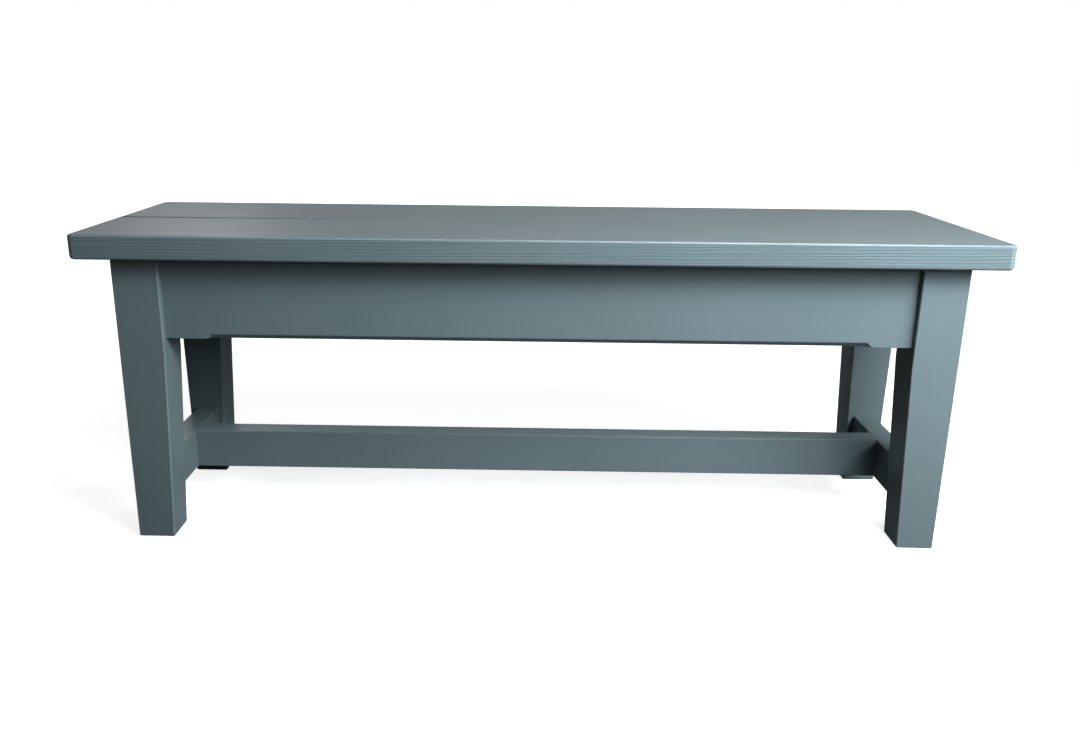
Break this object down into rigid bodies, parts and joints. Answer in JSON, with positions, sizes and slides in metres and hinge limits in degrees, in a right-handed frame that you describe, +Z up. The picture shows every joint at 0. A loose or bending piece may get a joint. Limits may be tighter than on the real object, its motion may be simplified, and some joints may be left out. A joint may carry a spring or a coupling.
{
  "type": "bench",
  "caption": "Painted wooden bench with a two-board seat, four square tapered legs, deep aprons with stopped chamfers, low end rails and a long stretcher.",
  "frame": {"origin": "on the floor, under the centre of the seat", "axes": "+X along the bench to its right end, +Y to its rear, +Z up"},
  "size_m": [1.22, 0.35, 0.44],
  "materials": {
    "painted_softwood": "satin slate blue-green paint, brushed over pine so that the grain shows faintly",
    "beech": "bare planed beech",
    "zinc_steel": "yellow zinc plate"
  },
  "bodies": {
    "root": {"seat_board_front": "painted_softwood", "seat_board_rear": "painted_softwood", "leg_front_left": "painted_softwood", "leg_front_right": "painted_softwood", "leg_rear_left": "painted_softwood", "leg_rear_right": "painted_softwood", "apron_front": "painted_softwood", "apron_rear": "painted_softwood", "apron_end_left": "painted_softwood", "apron_end_right": "painted_softwood", "rail_left": "painted_softwood", "rail_right": "painted_softwood", "stretcher": "painted_softwood", "seat_biscuit_1": "beech", "seat_biscuit_2": "beech", "seat_biscuit_3": "beech", "seat_biscuit_4": "beech", "seat_biscuit_5": "beech", "seat_button_1": "beech", "seat_button_2": "beech", "seat_button_3": "beech", "seat_button_4": "beech", "seat_button_5": "beech", "seat_button_6": "beech", "seat_button_7": "beech", "seat_button_8": "beech", "seat_button_9": "beech", "seat_button_10": "beech", "seat_screw_1": "zinc_steel", "seat_screw_2": "zinc_steel", "seat_screw_3": "zinc_steel", "seat_screw_4": "zinc_steel", "seat_screw_5": "zinc_steel", "seat_screw_6": "zinc_steel", "seat_screw_7": "zinc_steel", "seat_screw_8": "zinc_steel", "seat_screw_9": "zinc_steel", "seat_screw_10": "zinc_steel"}
  },
  "joints": []
}
